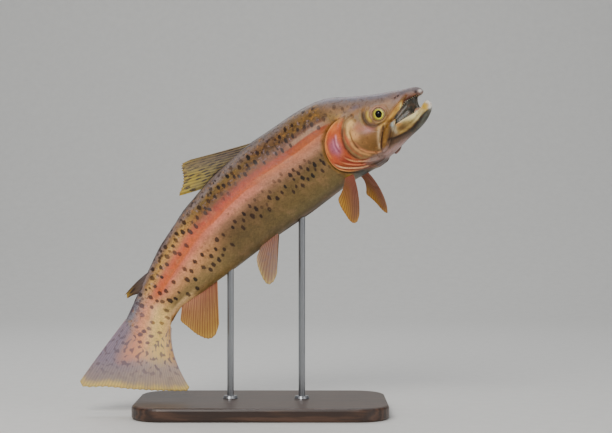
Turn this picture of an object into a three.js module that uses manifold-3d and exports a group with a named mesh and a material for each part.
// A life-size rainbow trout in mid-leap, held over a plain base by two rods.
// Millimetres, +Z up. The fish heads towards +X, and its right side faces -Y.
// The origin is the centre of the base's underside.
//
// The body is a stack of oval sections along a bent line. The line starts at the neck, just
// behind the gill covers, and runs to the tail. The head is built straight, in a frame of its
// own at the neck: x forwards, y to the fish's left, z to its back.
import * as THREE from "three";
import { mergeVertices } from "three/addons/utils/BufferGeometryUtils.js";
import Module from "manifold-3d";

const wasm = await Module();
wasm.setup();

// ---------------------------------------------------------------- driving dimensions
const GAP = 0.3; // clearance between neighbouring pieces
const NECK = new THREE.Vector3(86.2, -4.6, 324.2); // middle of the section behind the gill covers
const STEM_START = 225; // along the body line, where the trunk ends and the tail stem begins
const FIN_START = 319; // where the tail stem ends and the tail fin's rays begin

// How the body line runs, by distance from the neck. RISE is its slope, nose up, in degrees.
const RISE = [[0, 25.5], [10, 29.5], [29, 35], [83, 35.2], [123, 39.7], [168, 44.7], [208, 47.2], [251, 49.5],
  [275, 55], [293, 63], [311, 71], [338, 81]];
// TURN is the slope away from -Y, and BANK is how far the belly is rolled towards -Y.
const TURN = [[0, -20], [12, -19], [55, -10], [135, 0], [225, 6], [338, 9]];
const BANK = [[0, 10], [160, 8], [338, 5]];

// The body's own section, by distance from the neck.
const HALF_DEPTH = [[0, 53.4], [13, 54.2], [43, 55.4], [78, 56], [118, 54.8], [151, 52.6], [185, 48.6],
  [219, 42.6], [253, 35.6], [273, 30], [291, 26.6], [305, 25.6], [323, 28.5], [338, 32]];
const HALF_WIDTH = [[0, 30], [20, 31.2], [80, 32], [133, 30], [183, 25], [233, 17.5], [271, 12], [293, 9],
  [311, 6.4], [325, 3.6], [338, 2.4]];
const WIDEST_ABOVE_MIDDLE = 0.07; // of the half depth
const SECTION_POWER = 2.15; // 2 is an ellipse

// The head's profile by distance forwards of the neck.
const HEAD_TOP = [[0, 53.4], [12, 51.8], [24, 47.6], [41, 40.2], [58, 33.8], [74, 28.2], [92, 23], [104, 19.6],
  [114, 17.2], [120, 15], [124, 11.2], [125.6, 7.4]];
const HEAD_BOTTOM = [[0, -53.4], [24, -51.4], [41, -50.2], [52, -47], [60, -41], [68, -31.6], [78, -19], [87, -9],
  [96, -2], [106, 3.6], [115, 4.4], [121, 4.4], [124.4, 5.6], [125.6, 7.4]];
const HEAD_WIDEST = [[0, 3.6], [24, -4], [41, -8], [58, -9], [74, -5], [92, 1], [104, 6], [115, 8], [125.6, 7.4]];
const HEAD_HALF_WIDTH = [[0, 30], [14, 30.4], [30, 29], [45, 26.6], [60, 24], [74, 21.4], [90, 17.6], [104, 13.6],
  [114, 10], [120, 7.2], [124, 3.6], [125.6, 0.5]];
const HEAD_POWER = 2.25;

// The lower jaw hangs open below it, hooked up at the tip. TOP is the lip.
const JAW_TOP = [[50, -36], [66, -27], [80, -19.6], [92, -17], [107, -15], [116, -12.4], [122, -7.8], [126, -7],
  [129, -10.4]];
const JAW_BOTTOM = [[50, -46.4], [64, -42.8], [80, -37.6], [90, -34.4], [101, -31.4], [112, -27.2], [121, -21.6],
  [127, -15.4], [129, -10.4]];
const JAW_HALF_WIDTH = [[50, 21], [66, 20.8], [80, 19.4], [92, 17.2], [107, 13], [117, 9.4], [123, 6.2], [127.4, 3.4],
  [129, 0.5]];
const JAW_LIP = 2.2; // the lip's rounding above its widest line

// The hollow of the mouth.
const MOUTH_TOP = [[56, -22], [70, -10], [84, 0], [96, 6], [108, 10], [116, 9.6], [121, 7]];
const MOUTH_BOTTOM = [[56, -33], [70, -33], [84, -29], [96, -25], [108, -20.6], [116, -15.6], [121, -10]];
const MOUTH_HALF_WIDTH = [[56, 6], [70, 14], [84, 15.4], [96, 13], [108, 9.4], [116, 5.8], [121, 2.6]];
const MOUTH_POWER = 2.6;

// The open space between the jaws, seen from the side, ahead of the corner of the mouth.
const GAPE = { corner: { x: 82, z: -15.5 }, from: 90, to: 126, clearance: 0.4, beyond: 140, halfWidth: 40 };

// The tongue is raised off the floor of the mouth.
const TONGUE_TOP = [[74, -25], [84, -18], [96, -12], [106, -8.4], [112, -8], [115.5, -10.5]];
const TONGUE_BOTTOM = [[74, -36], [92, -32], [104, -25], [112, -16], [115.5, -11.5]];
const TONGUE_HALF_WIDTH = [[74, 4], [84, 8], [96, 8.4], [106, 6.8], [112, 4.6], [115.5, 0.8]];

// Teeth stand in pairs at these distances along the lips, set in from the skin.
const TEETH = { height: 2, radius: 0.7, upper: [104, 108, 112, 116], upperInset: 2.2,
  lower: [94, 99, 104, 109, 114, 118], lowerInset: 2, leastAside: 0.8 };

const EYE = { x: 69.8, z: 1, radius: 9, sunk: 5.4 };

// The blade of the upper jaw: distance forwards, height, blade height, by share of its length.
const MAXILLA_X = [[0, 107], [0.2, 97.4], [0.36, 90.2], [0.58, 80.5], [0.8, 69.5], [1, 58.5]];
const MAXILLA_Z = [[0, 8.6], [0.2, 2], [0.36, -3.4], [0.58, -13.7], [0.8, -27], [1, -40.5]];
const MAXILLA_HEIGHT = [[0, 3], [0.2, 5.2], [0.36, 7], [0.58, 10.8], [0.8, 12.8], [0.94, 10], [1, 4]];
const MAXILLA_THICK = 3.2;

// The gill cover's outline, clockwise from its upper front corner, in the head's x and z.
const COVER_OUTLINE = [[32, 15], [18, 13.5], [6, 6], [-2.5, -6], [-6, -20], [-4, -32], [4, -41], [16, -46.5],
  [30, -48.5], [45, -48], [58, -45.5], [44, -43], [30, -39.5], [22, -31], [19.5, -17], [22, -3], [28, 9]];
const COVER_THICK = 1.9;

const STAND = {
  length: 300, width: 168, height: 16, corner: 34, edge: 3,
  rodRadius: 4, rodLength: 300, frontRodX: 48, rearRodX: -38, collarRadius: 9, collarHeight: 3,
};

// ---------------------------------------------------------------- curves and frames
const radians = THREE.MathUtils.degToRad;

// A smooth value through [place, value] stations.
function through(stations) {
  const slope = stations.map((_, i) => {
    const [x0, y0] = stations[Math.max(i - 1, 0)];
    const [x1, y1] = stations[Math.min(i + 1, stations.length - 1)];
    return (y1 - y0) / (x1 - x0);
  });
  return (x) => {
    const at = THREE.MathUtils.clamp(x, stations[0][0], stations.at(-1)[0]);
    const i = Math.max(stations.findIndex(([place]) => place >= at), 1);
    const [x0, y0] = stations[i - 1];
    const [x1, y1] = stations[i];
    const span = x1 - x0;
    const t = (at - x0) / span;
    const keep = (1 + 2 * t) * (1 - t) ** 2;
    return keep * y0 + (1 - keep) * y1 + t * (1 - t) * span * ((1 - t) * slope[i - 1] - t * slope[i]);
  };
}

const rise = through(RISE);
const turn = through(TURN);
const bank = through(BANK);

// Forward, left and up directions of the body at a distance from the neck.
function directions(s) {
  const [slope, away, roll] = [rise(s), turn(s), bank(s)].map(radians);
  const forward = new THREE.Vector3(
    Math.cos(slope) * Math.cos(away), Math.sin(away), Math.sin(slope) * Math.cos(away));
  const upright = new THREE.Vector3(-Math.sin(slope), 0, Math.cos(slope));
  const aside = upright.clone().cross(forward);
  const up = upright.clone().multiplyScalar(Math.cos(roll)).addScaledVector(aside, Math.sin(roll));
  return { forward, up, left: up.clone().cross(forward) };
}

const LINE_STEP = 1;
const LINE_LENGTH = 400;
const line = [NECK.clone()];
for (let s = 0; s < LINE_LENGTH; s += LINE_STEP)
  line.push(line.at(-1).clone().addScaledVector(directions(s + LINE_STEP / 2).forward, -LINE_STEP));

function linePoint(s) {
  if (s < 0) return NECK.clone().addScaledVector(directions(0).forward, -s);
  const i = Math.min(Math.floor(s / LINE_STEP), line.length - 2);
  return line[i].clone().lerp(line[i + 1], s / LINE_STEP - i);
}

// A point of an oval: angle runs from the top round the right side to the bottom and back.
function oval(angle, halfWidth, above, below, power) {
  const c = Math.cos(angle);
  const sn = Math.sin(angle);
  const bend = (v) => Math.sign(v) * Math.abs(v) ** (2 / power);
  return { y: -halfWidth * bend(sn), z: (c > 0 ? above : below) * bend(c) };
}

const bodyDepth = through(HALF_DEPTH);
const bodyWidth = through(HALF_WIDTH);

// A point on the body's skin, or grown millimetres outside it.
function bodyPoint(s, angle, grown = 0) {
  const half = bodyDepth(s);
  const lift = WIDEST_ABOVE_MIDDLE * half;
  const { y, z } = oval(angle, bodyWidth(s) + grown, half - lift + grown, half + lift + grown, SECTION_POWER);
  const { left, up } = directions(s);
  return linePoint(s).addScaledVector(left, y).addScaledVector(up, z + lift);
}

// ---------------------------------------------------------------- solids
// A closed geometry through rings of points, with flat or pointed ends.
function loft(rings) {
  const round = rings[0].length;
  const points = rings.flat();
  const faces = [];
  for (let i = 0; i + 1 < rings.length; i++)
    for (let j = 0; j < round; j++) {
      const a = i * round + j;
      const b = i * round + ((j + 1) % round);
      faces.push(a, a + round, b, b, a + round, b + round);
    }
  const last = points.length - round;
  const middle = (ring) => ring.reduce((sum, p) => sum.add(p), new THREE.Vector3()).divideScalar(round);
  points.push(middle(rings[0]), middle(rings.at(-1)));
  for (let j = 0; j < round; j++) {
    faces.push(points.length - 2, j, (j + 1) % round);
    faces.push(points.length - 1, last + ((j + 1) % round), last + j);
  }
  return new THREE.BufferGeometry()
    .setAttribute("position", new THREE.Float32BufferAttribute(points.flatMap((p) => p.toArray()), 3))
    .setIndex(faces);
}

// A three.js geometry as a manifold solid, and back. A solid that came out inside in is turned.
function solid(geometry) {
  const plain = geometry.clone();
  plain.deleteAttribute("normal");
  plain.deleteAttribute("uv");
  const merged = mergeVertices(plain, 1e-3);
  const build = (index) => new wasm.Manifold(new wasm.Mesh({
    numProp: 3, vertProperties: merged.attributes.position.array, triVerts: new Uint32Array(index) }));
  const index = Array.from(merged.index.array);
  const kept = [];
  for (let i = 0; i < index.length; i += 3) {
    const [a, b, c] = index.slice(i, i + 3);
    if (a !== b && b !== c && c !== a) kept.push(a, b, c);
  }
  const made = build(kept);
  return made.volume() < 0 ? build(kept.reverse()) : made;
}

function largest(shape) {
  return shape.decompose().sort((a, b) => b.volume() - a.volume())[0];
}

function geometryOf(shape) {
  const mesh = shape.getMesh();
  return new THREE.BufferGeometry()
    .setAttribute("position", new THREE.Float32BufferAttribute(mesh.vertProperties, 3))
    .setIndex(new THREE.Uint32BufferAttribute(mesh.triVerts, 1));
}

const ROUND = 24; // corners of a body section

function bodySolid(from, to, step, grown = 0, round = ROUND) {
  const count = Math.max(Math.round((to - from) / step), 1);
  const rings = [];
  for (let i = 0; i <= count; i++) {
    const s = from + ((to - from) * i) / count;
    rings.push(Array.from({ length: round }, (_, j) => bodyPoint(s, (2 * Math.PI * j) / round, grown)));
  }
  return solid(loft(rings));
}

// A solid along the head's x axis from curves of its top, bottom, widest height and half width.
function headSolid(xs, top, bottom, widest, halfWidth, { grown = 0, power = HEAD_POWER, round = ROUND } = {}) {
  const rings = xs.map((x) => {
    const middle = widest(x);
    return Array.from({ length: round }, (_, j) => {
      const { y, z } = oval((2 * Math.PI * j) / round, halfWidth(x) + grown,
        Math.max(top(x) - middle, 0.2) + grown, Math.max(middle - bottom(x), 0.2) + grown, power);
      return new THREE.Vector3(x, y, middle + z);
    });
  });
  return solid(loft(rings));
}

const steps = (from, to, count) => Array.from({ length: count + 1 }, (_, i) => from + ((to - from) * i) / count);

// ---------------------------------------------------------------- the head, in its own frame
const headTop = through(HEAD_TOP);
const headBottom = through(HEAD_BOTTOM);
const headWidest = through(HEAD_WIDEST);
const headWidth = through(HEAD_HALF_WIDTH);
const SNOUT = HEAD_TOP.at(-1)[0];

const skullStations = (back) => [...steps(back, 110, 14), 114, 117.4, 120, 122.4, 124.4, SNOUT];
const skull = (grown, back = GAP / 2) =>
  headSolid(skullStations(back), headTop, headBottom, headWidest, headWidth, { grown });

// Half width of the head's skin at a height.
function skinAt(x, z) {
  const middle = headWidest(x);
  const reach = z > middle ? headTop(x) - middle : middle - headBottom(x);
  const share = Math.min(Math.abs(z - middle) / reach, 0.995);
  return headWidth(x) * (1 - share ** HEAD_POWER) ** (1 / HEAD_POWER);
}

const jawTop = through(JAW_TOP);
const jawBottom = through(JAW_BOTTOM);
const jawWidth = through(JAW_HALF_WIDTH);
const [JAW_BACK, JAW_TIP] = [JAW_TOP[0][0], JAW_TOP.at(-1)[0]];

function jawSolid() {
  const xs = [...steps(JAW_BACK, 113, 9), 117, 120.4, 123.4, 125.8, 127.6, JAW_TIP];
  return headSolid(xs, (x) => jawTop(x) + JAW_LIP * Math.min(1, (JAW_TIP - x) / 4), jawBottom, jawTop, jawWidth,
    { round: 20 });
}

function mouthSolid(grown = 0) {
  const [top, bottom, width] = [MOUTH_TOP, MOUTH_BOTTOM, MOUTH_HALF_WIDTH].map(through);
  const middle = (x) => (top(x) + bottom(x)) / 2;
  const [back, front] = [MOUTH_TOP[0][0], MOUTH_TOP.at(-1)[0]];
  return headSolid(steps(back, front, 7), top, bottom, middle, width, { grown, power: MOUTH_POWER, round: 14 });
}

function gapeSolid() {
  const { corner, from, to, clearance, beyond, halfWidth } = GAPE;
  const outline = new THREE.Shape();
  outline.moveTo(corner.x, corner.z);
  for (const x of steps(from, to, 6)) outline.lineTo(x, headBottom(x) - clearance);
  outline.lineTo(beyond, headBottom(to));
  outline.lineTo(beyond, jawTop(to));
  for (const x of steps(to, from, 5)) outline.lineTo(x, jawTop(x) + JAW_LIP + clearance);
  const slab = new THREE.ExtrudeGeometry(outline, { depth: 2 * halfWidth, bevelEnabled: false });
  return solid(slab.rotateX(Math.PI / 2).translate(0, halfWidth, 0));
}

function eyeSolid(side, grown = 0) {
  const y = side * (skinAt(EYE.x, EYE.z) - EYE.sunk);
  return solid(new THREE.SphereGeometry(EYE.radius + grown, 16, 9).translate(EYE.x, y, EYE.z));
}

// Half width of whatever the blade of the upper jaw lies against: the cheek or the lower jaw.
function cheekAt(x, z) {
  const upper = skinAt(x, Math.max(z, headBottom(x) + 1.5));
  const lower = z < jawTop(x) + 6 && x > JAW_BACK ? jawWidth(x) + MAXILLA_THICK / 2 + GAP : 0;
  return Math.max(upper, lower);
}

function maxillaSolid(side, grown = 0) {
  const [xAt, zAt, high] = [MAXILLA_X, MAXILLA_Z, MAXILLA_HEIGHT].map(through);
  const rings = steps(0, 1, 9).map((t) => {
    const [x, z] = [xAt(t), zAt(t)];
    const ahead = new THREE.Vector2(xAt(Math.max(t - 0.02, 0)) - xAt(Math.min(t + 0.02, 1)),
      zAt(Math.max(t - 0.02, 0)) - zAt(Math.min(t + 0.02, 1))).normalize();
    return Array.from({ length: 8 }, (_, j) => {
      const angle = (2 * Math.PI * j) / 8;
      const across = (high(t) / 2 + grown) * Math.cos(angle);
      const [px, pz] = [x - ahead.y * across, z + ahead.x * across];
      const out = (MAXILLA_THICK / 2 + grown) * Math.sin(angle);
      return new THREE.Vector3(px, side * (cheekAt(px, pz) + out), pz);
    });
  });
  return solid(loft(rings));
}

// A column through the head along y, from an outline in x and z, on one side of the middle.
function sideColumn(points, side, inner = 2) {
  const curve = new THREE.CatmullRomCurve3(points.map(([x, z]) => new THREE.Vector3(x, z, 0)), true);
  const outline = new THREE.Shape(curve.getPoints(30).slice(0, -1).map((p) => new THREE.Vector2(p.x, p.y)));
  const column = new THREE.ExtrudeGeometry(outline, { depth: 70, bevelEnabled: false });
  column.rotateX(Math.PI / 2).translate(0, side > 0 ? 70 + inner : -inner, 0);
  return solid(column);
}

const headDirections = directions(0);
const headMatrix = new THREE.Matrix4()
  .makeBasis(headDirections.forward, headDirections.left, headDirections.up).setPosition(NECK);
const toWorld = (shape) => shape.transform(headMatrix.elements);
const toHeadFrame = (shape) => shape.transform(headMatrix.clone().invert().elements);

const frontOfTrunk = (grown) => toHeadFrame(bodySolid(-4, 26, 6, grown));

const coverShell = (grown) => skull(COVER_THICK + GAP + grown, -2).add(frontOfTrunk(COVER_THICK + GAP + grown));

function gillCover(side) {
  const outside = coverShell(0);
  const inside = skull(GAP, -2).add(frontOfTrunk(GAP)).add(maxillaSolid(side, GAP));
  return largest(outside.subtract(inside).intersect(sideColumn(COVER_OUTLINE, side)));
}

// Small cones in two rows along a lip, pointing up or down.
function teeth(height, halfWidth, inset, direction, places) {
  return places.flatMap((x) => [-1, 1].map((side) => {
    const cone = new THREE.ConeGeometry(TEETH.radius, TEETH.height, 4).rotateX((direction * Math.PI) / 2);
    return solid(cone.translate(x, side * Math.max(halfWidth(x) - inset, TEETH.leastAside), height(x)));
  }));
}

function tongueSolid() {
  const [top, bottom, width] = [TONGUE_TOP, TONGUE_BOTTOM, TONGUE_HALF_WIDTH].map(through);
  const middle = (x) => (top(x) + bottom(x)) / 2;
  const [back, front] = [TONGUE_TOP[0][0], TONGUE_TOP.at(-1)[0]];
  return headSolid(steps(back, front, 7), top, bottom, middle, width, { round: 12 }).intersect(mouthSolid(-GAP));
}

// ---------------------------------------------------------------- fins
// A fin is a fan of rays. Each ray has a root on the body and a tip; between them the web is
// a thin plate. root(t) and tip(t) give points for t from the front ray to the last, and bend(t)
// is how far the middle of a ray stands off the straight line between them.
const STRAIGHT = new THREE.Vector3();

function finSolid({ root, tip, bend = () => STRAIGHT, rays = 9, across, rootThick = 3, edgeThick = 1, bow = 0 }) {
  const rows = 4;
  const plate = (side) => steps(0, 1, rays).map((t) => steps(0, 1, rows).map((r) => {
    const thick = THREE.MathUtils.lerp(rootThick, edgeThick, Math.sqrt(r));
    const edge = t === 0 || t === 1 ? 0.6 : 1;
    const middle = 4 * r * (1 - r);
    const p = root(t).lerp(tip(t), r).addScaledVector(bend(t), middle);
    return p.addScaledVector(across, (side * thick * edge) / 2 + bow * middle);
  }));
  const rings = plate(1).map((near, i) => [...near, ...plate(-1)[i].reverse()]);
  return solid(loft(rings));
}

const fishSkin = bodySolid(0, FIN_START, 12, GAP).add(toWorld(skull(GAP, -1)))
  .add(toWorld(sideColumn(COVER_OUTLINE, 1).intersect(coverShell(GAP))))
  .add(toWorld(sideColumn(COVER_OUTLINE, -1).intersect(coverShell(GAP))));

const outsideFish = (shape) => largest(shape.subtract(fishSkin));

// Fins on the middle line of the back or belly. lean is each ray's angle from the body line.
function medianFin({ from, to, above, lean, length, sunk = 5, swell = 0, ...rest }) {
  const [leanAt, lengthAt] = [lean, length].map(through);
  const place = (t) => from + (to - from) * t;
  const out = above ? 1 : -1;
  const ray = (t) => {
    const { forward, up } = directions(place(t));
    const angle = radians(leanAt(t));
    return forward.clone().multiplyScalar(-Math.cos(angle)).addScaledVector(up, out * Math.sin(angle));
  };
  const skin = (t) => bodyPoint(place(t), above ? 0 : Math.PI);
  return finSolid({
    root: (t) => skin(t).addScaledVector(ray(t), -sunk),
    tip: (t) => skin(t).addScaledVector(ray(t), lengthAt(t)),
    bend: (t) => directions(place(t)).up.multiplyScalar(out * swell),
    across: directions(place(0.5)).left,
    ...rest,
  });
}

// Paired fins. side is -1 for the fish's right. spread turns the fin out from straight down, and
// the rays fan backwards from it.
function pairedFin({ at, angle, side, spread, base, lean, length, sweep = 0, twist = 0, ...rest }) {
  const [leanAt, lengthAt] = [lean, length].map(through);
  const { forward, up, left } = directions(at);
  const down = up.clone().multiplyScalar(-Math.cos(radians(spread)))
    .addScaledVector(left, side * Math.sin(radians(spread)));
  const back = forward.clone().negate().multiplyScalar(Math.cos(radians(twist)))
    .addScaledVector(left, side * Math.sin(radians(twist)));
  const ray = (t) => {
    const a = radians(leanAt(t));
    return back.clone().multiplyScalar(Math.cos(a)).addScaledVector(down, Math.sin(a)).normalize();
  };
  const skin = (t) => bodyPoint(at + base * (t - 0.5), radians(side < 0 ? angle : -angle));
  return finSolid({
    root: (t) => skin(t).addScaledVector(down, -4),
    tip: (t) => skin(t).addScaledVector(ray(t), lengthAt(t)),
    bend: () => back.clone().multiplyScalar(-sweep),
    across: down.clone().cross(back).normalize(),
    rays: 7,
    ...rest,
  });
}

const DORSAL = {
  from: 85, to: 158, above: true, rays: 10, bow: 1.5, rootThick: 4,
  lean: [[0, 21], [0.25, 23], [0.5, 25], [0.75, 26], [1, 26]],
  length: [[0, 83], [0.1, 83], [0.3, 69], [0.5, 54], [0.75, 39], [1, 30]],
};
const ADIPOSE = {
  from: 272, to: 294, above: true, rays: 5, rootThick: 4.4, edgeThick: 2, swell: 1.6,
  lean: [[0, 9], [0.4, 20], [1, 42]],
  length: [[0, 37], [0.4, 24], [1, 13]],
};
const ANAL = {
  from: 225, to: 280, above: false, rays: 9, rootThick: 3.6, bow: -1,
  lean: [[0, 45], [0.25, 42], [0.5, 38], [0.75, 33], [1, 26]],
  length: [[0, 54], [0.1, 62], [0.25, 61], [0.5, 48], [0.75, 32], [1, 17]],
};
const PELVIC_RIGHT = {
  at: 134, angle: 168, side: -1, base: 24, spread: 16, twist: 6,
  lean: [[0, 49], [0.3, 43], [0.6, 34], [1, 20]],
  length: [[0, 54], [0.12, 62], [0.3, 62], [0.6, 44], [1, 20]],
};
const PELVIC_LEFT = {
  ...PELVIC_RIGHT, side: 1,
  lean: [[0, 43], [0.3, 38], [0.6, 30], [1, 18]],
  length: [[0, 52], [0.12, 59], [0.3, 59], [0.6, 43], [1, 20]],
};
const PECTORAL_RIGHT = {
  at: -5, angle: 157, side: -1, base: 10, spread: 30, twist: 8, sweep: 3,
  lean: [[0, 88], [0.3, 82], [0.65, 74], [1, 60]],
  length: [[0, 62], [0.12, 68], [0.3, 66], [0.65, 48], [1, 28]],
};
const PECTORAL_LEFT = {
  ...PECTORAL_RIGHT, side: 1, at: -13, angle: 151, sweep: 5,
  lean: [[0, 88], [0.3, 86], [0.65, 84], [1, 80]],
  length: [[0, 57], [0.12, 60], [0.3, 56], [0.65, 40], [1, 26]],
};

// The tail fin's rays, by place from the top ray at -1 to the bottom ray at 1: how long they
// are, how many degrees they rise, and how far their middle is bent upwards.
const TAIL_REACH = [[-1, 97], [-0.86, 96], [-0.5, 86], [0, 80], [0.5, 78], [0.86, 79], [1, 79]];
const TAIL_FAN = [[-1, 25.5], [-0.5, 13], [0, -2], [0.5, -17], [1, -31]];
const TAIL_BEND = [[-1, 1.5], [0, 0], [0.4, 2], [1, 8.5]];
const TAIL_SQUARE = 12; // the fin stands square to the body line this far behind its start

function tailFin() {
  const [reach, fan, bent] = [TAIL_REACH, TAIL_FAN, TAIL_BEND].map(through);
  const { up, left, forward } = directions(FIN_START + TAIL_SQUARE);
  const start = linePoint(FIN_START);
  const half = bodyDepth(FIN_START) - 1;
  const place = (t) => 2 * t - 1;
  return finSolid({
    root: (t) => start.clone().addScaledVector(up, -half * place(t)).addScaledVector(forward, 1.5),
    tip: (t) => {
      const a = radians(fan(place(t)));
      const out = forward.clone().multiplyScalar(-Math.cos(a)).addScaledVector(up, Math.sin(a));
      return start.clone().addScaledVector(up, -half * place(t)).addScaledVector(out, reach(place(t)));
    },
    bend: (t) => up.clone().multiplyScalar(bent(place(t))),
    across: left, rays: 18, rootThick: 6, edgeThick: 1.2, bow: 1.5,
  });
}

// ---------------------------------------------------------------- stand
function rodSolid(x) {
  const { height, rodRadius, rodLength, collarRadius, collarHeight } = STAND;
  const rod = new THREE.CylinderGeometry(rodRadius, rodRadius, rodLength, 16).rotateX(Math.PI / 2);
  const collar = new THREE.CylinderGeometry(collarRadius - 1, collarRadius, collarHeight, 24);
  collar.rotateX(Math.PI / 2).translate(x, rodY(x), height + GAP + collarHeight / 2);
  const whole = solid(rod.translate(x, rodY(x), rodLength / 2 + height + GAP)).add(solid(collar));
  return whole.subtract(fishSkin).decompose().sort((a, b) => a.boundingBox().min[2] - b.boundingBox().min[2])[0];
}

// The rod stands under the belly's middle line.
function rodY(x) {
  let s = 0;
  while (bodyPoint(s, Math.PI).x > x) s += 1;
  return bodyPoint(s, Math.PI).y;
}

function baseGeometry() {
  const { length, width, corner, height, edge } = STAND;
  const plan = new THREE.Shape();
  const [a, b] = [length / 2 - corner - edge, width / 2 - corner - edge];
  plan.absarc(a, b, corner, 0, Math.PI / 2);
  plan.absarc(-a, b, corner, Math.PI / 2, Math.PI);
  plan.absarc(-a, -b, corner, Math.PI, 1.5 * Math.PI);
  plan.absarc(a, -b, corner, 1.5 * Math.PI, 2 * Math.PI);
  return new THREE.ExtrudeGeometry(plan, {
    depth: height - 2 * edge, bevelThickness: edge, bevelSize: edge, bevelSegments: 2, curveSegments: 6,
  }).translate(0, 0, edge);
}

// ---------------------------------------------------------------- materials
const finish = (color, roughness, metalness = 0) => new THREE.MeshStandardMaterial({ color, roughness, metalness });
const FLANK = finish(0xa98a66, 0.35);
const CHEEK = finish(0xc98a62, 0.35);
const JAW = finish(0xb9a377, 0.35);
const FIN = finish(0xb07a55, 0.45);
const EYEBALL = finish(0xd8c23a, 0.1);
const MOUTH = finish(0xb9827a, 0.4);
const WOOD = finish(0x3b2a1f, 0.5);
const STEEL = finish(0x8f9296, 0.3, 1);

// ---------------------------------------------------------------- assembly
const trout = new THREE.Group();
const head = new THREE.Group();
head.quaternion.setFromRotationMatrix(headMatrix);
head.position.copy(NECK);
trout.add(head);

function add(group, name, geometry, material) {
  const mesh = new THREE.Mesh(geometry, material);
  mesh.name = name;
  group.add(mesh);
}

const eyes = [-1, 1].map((side) => eyeSolid(side, GAP));
const blades = [-1, 1].flatMap((side) => [maxillaSolid(side, GAP),
  maxillaSolid(side).translate(0, GAP, 0), maxillaSolid(side).translate(0, -GAP, 0)]);
const throat = mouthSolid();
const gape = gapeSolid();
// The lower jaw is what lies ahead of its hinge and below the upper lip.
const JAW_HINGE = JAW_BACK + 8;
const JAW_CEILING = -6;
const AMPLE = 200;
const jawSpace = new THREE.BoxGeometry(AMPLE, AMPLE, AMPLE)
  .translate(JAW_HINGE + AMPLE / 2, 0, JAW_CEILING - AMPLE / 2);

const upperTeeth = teeth((x) => headBottom(x) + 0.2, headWidth, TEETH.upperInset, -1, TEETH.upper);
const cut = (shape, tools) => tools.reduce((left, tool) => left.subtract(tool), shape);
let skullShape = cut(skull(0), [...eyes, throat, gape]);
for (const tooth of upperTeeth) skullShape = skullShape.add(tooth);
add(head, "head", geometryOf(largest(cut(skullShape, blades))), FLANK);

let jawShape = cut(jawSolid(), [skull(GAP), throat, gape]).intersect(solid(jawSpace));
for (const tooth of teeth((x) => jawTop(x) + JAW_LIP, jawWidth, TEETH.lowerInset, 1, TEETH.lower))
  jawShape = jawShape.add(tooth);
add(head, "lower_jaw", geometryOf(largest(cut(jawShape, blades))), JAW);
add(head, "tongue", geometryOf(tongueSolid()), MOUTH);

for (const [name, side] of [["right", -1], ["left", 1]]) {
  add(head, `eye_${name}`, geometryOf(eyeSolid(side)), EYEBALL);
  add(head, `upper_jaw_blade_${name}`, geometryOf(maxillaSolid(side)), JAW);
  add(head, `gill_cover_${name}`, geometryOf(gillCover(side)), CHEEK);
  const [pelvic, pectoral] = side < 0 ? [PELVIC_RIGHT, PECTORAL_RIGHT] : [PELVIC_LEFT, PECTORAL_LEFT];
  add(trout, `pelvic_fin_${name}`, geometryOf(outsideFish(pairedFin(pelvic))), FIN);
  add(trout, `pectoral_fin_${name}`, geometryOf(outsideFish(pairedFin(pectoral))), FIN);
}

add(trout, "trunk", geometryOf(bodySolid(GAP / 2, STEM_START - GAP / 2, 12)), FLANK);
add(trout, "tail_stem", geometryOf(bodySolid(STEM_START + GAP / 2, FIN_START, 11)), FLANK);
add(trout, "dorsal_fin", geometryOf(outsideFish(medianFin(DORSAL))), FIN);
add(trout, "adipose_fin", geometryOf(outsideFish(medianFin(ADIPOSE))), FIN);
add(trout, "anal_fin", geometryOf(outsideFish(medianFin(ANAL))), FIN);
add(trout, "tail_fin", geometryOf(outsideFish(tailFin())), FIN);

add(trout, "stand_base", baseGeometry(), WOOD);
for (const [name, x] of [["front", STAND.frontRodX], ["rear", STAND.rearRodX]])
  add(trout, `stand_rod_${name}`, geometryOf(rodSolid(x)), STEEL);

export default trout;
